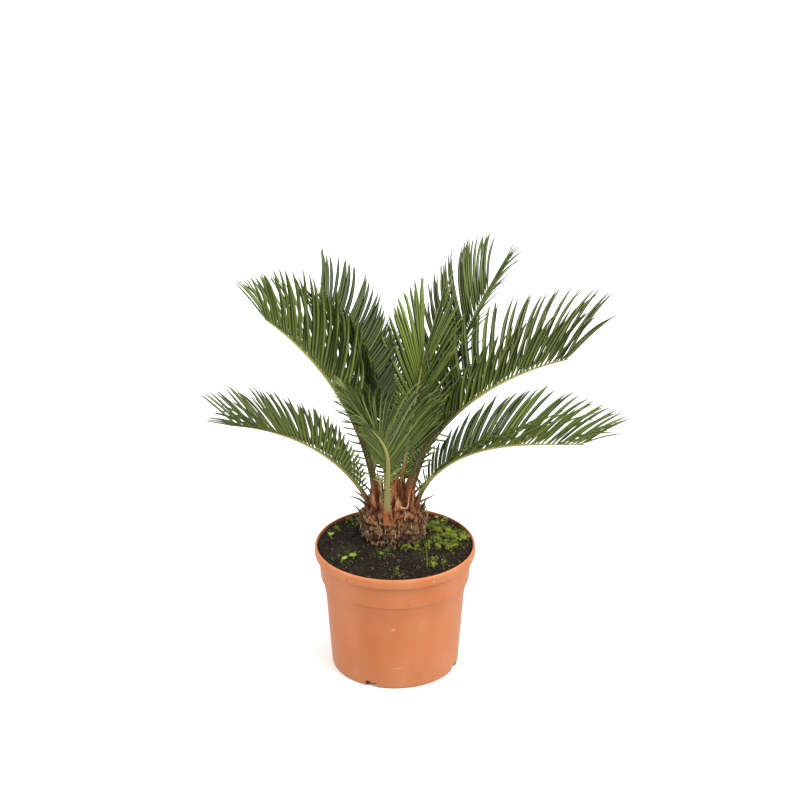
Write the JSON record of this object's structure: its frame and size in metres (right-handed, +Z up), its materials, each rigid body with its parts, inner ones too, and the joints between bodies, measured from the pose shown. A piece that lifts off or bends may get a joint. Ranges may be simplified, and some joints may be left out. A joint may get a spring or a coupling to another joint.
{
  "type": "potted sago palm",
  "caption": "Young sago palm with arching feather fronds on a squat shaggy trunk, standing in a round terracotta-coloured nursery pot filled with mossy soil.",
  "frame": {"origin": "centre of the pot's underside, on the surface it stands on", "axes": "+Z up along the pot's axis, -Y towards the side seen from the front, +X to the right"},
  "size_m": [0.4952, 0.36, 0.4991],
  "materials": {
    "pot": "smooth terracotta-coloured moulded plastic",
    "soil": "dark crumbly peat with moss",
    "trunk": "fibrous dead leaf bases and rust-coloured wool",
    "frond": "leathery satin leaflets"
  },
  "bodies": {
    "root": {"pot": "pot", "soil": "soil", "trunk": "trunk", "frond_01": "frond", "frond_02": "frond", "frond_03": "frond", "frond_04": "frond", "frond_05": "frond", "frond_06": "frond", "frond_07": "frond", "frond_08": "frond", "frond_09": "frond"}
  },
  "joints": []
}
